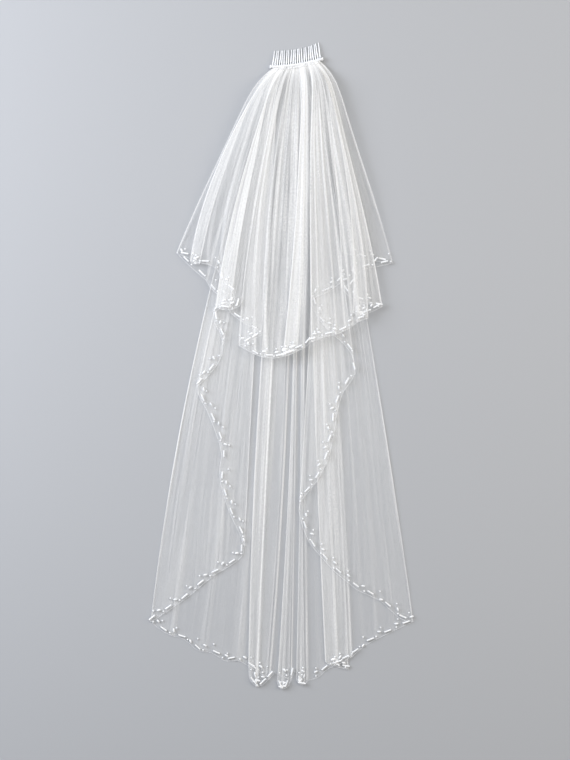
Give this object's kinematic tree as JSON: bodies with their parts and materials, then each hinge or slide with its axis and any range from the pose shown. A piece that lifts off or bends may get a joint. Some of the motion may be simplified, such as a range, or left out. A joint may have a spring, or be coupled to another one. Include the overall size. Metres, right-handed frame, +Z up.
{
  "type": "two-tier bridal veil laid flat",
  "caption": "Sheer white veil of two oval tulle tiers gathered on a wire hair comb, laid flat with fanned folds and beaded edges.",
  "frame": {"origin": "on the surface that the veil lies on, under the middle of its width and length", "axes": "+X to the right of the picture, +Y towards the comb, +Z up through the layers of cloth"},
  "size_m": [0.439, 1.0772, 0.0251],
  "materials": {
    "tulle": "sheer soft nylon net, slightly lustrous",
    "binding_thread": "tightly wound matt thread",
    "comb_wire": "polished silver-coloured wire",
    "beads": "glossy pearl-white glass beads"
  },
  "bodies": {
    "root": {"long_tier": "tulle", "short_tier": "tulle", "comb_binding": "binding_thread", "comb_spine": "comb_wire", "comb_tooth_01": "comb_wire", "comb_tooth_02": "comb_wire", "comb_tooth_03": "comb_wire", "comb_tooth_04": "comb_wire", "comb_tooth_05": "comb_wire", "comb_tooth_06": "comb_wire", "comb_tooth_07": "comb_wire", "comb_tooth_08": "comb_wire", "comb_tooth_09": "comb_wire", "comb_tooth_10": "comb_wire", "comb_tooth_11": "comb_wire", "comb_tooth_12": "comb_wire", "comb_tooth_13": "comb_wire", "comb_tooth_14": "comb_wire", "comb_tooth_15": "comb_wire", "comb_tooth_16": "comb_wire", "comb_tooth_17": "comb_wire", "comb_tooth_18": "comb_wire", "comb_tooth_19": "comb_wire", "comb_tooth_20": "comb_wire", "comb_tooth_21": "comb_wire", "comb_tooth_22": "comb_wire"}
  },
  "joints": []
}
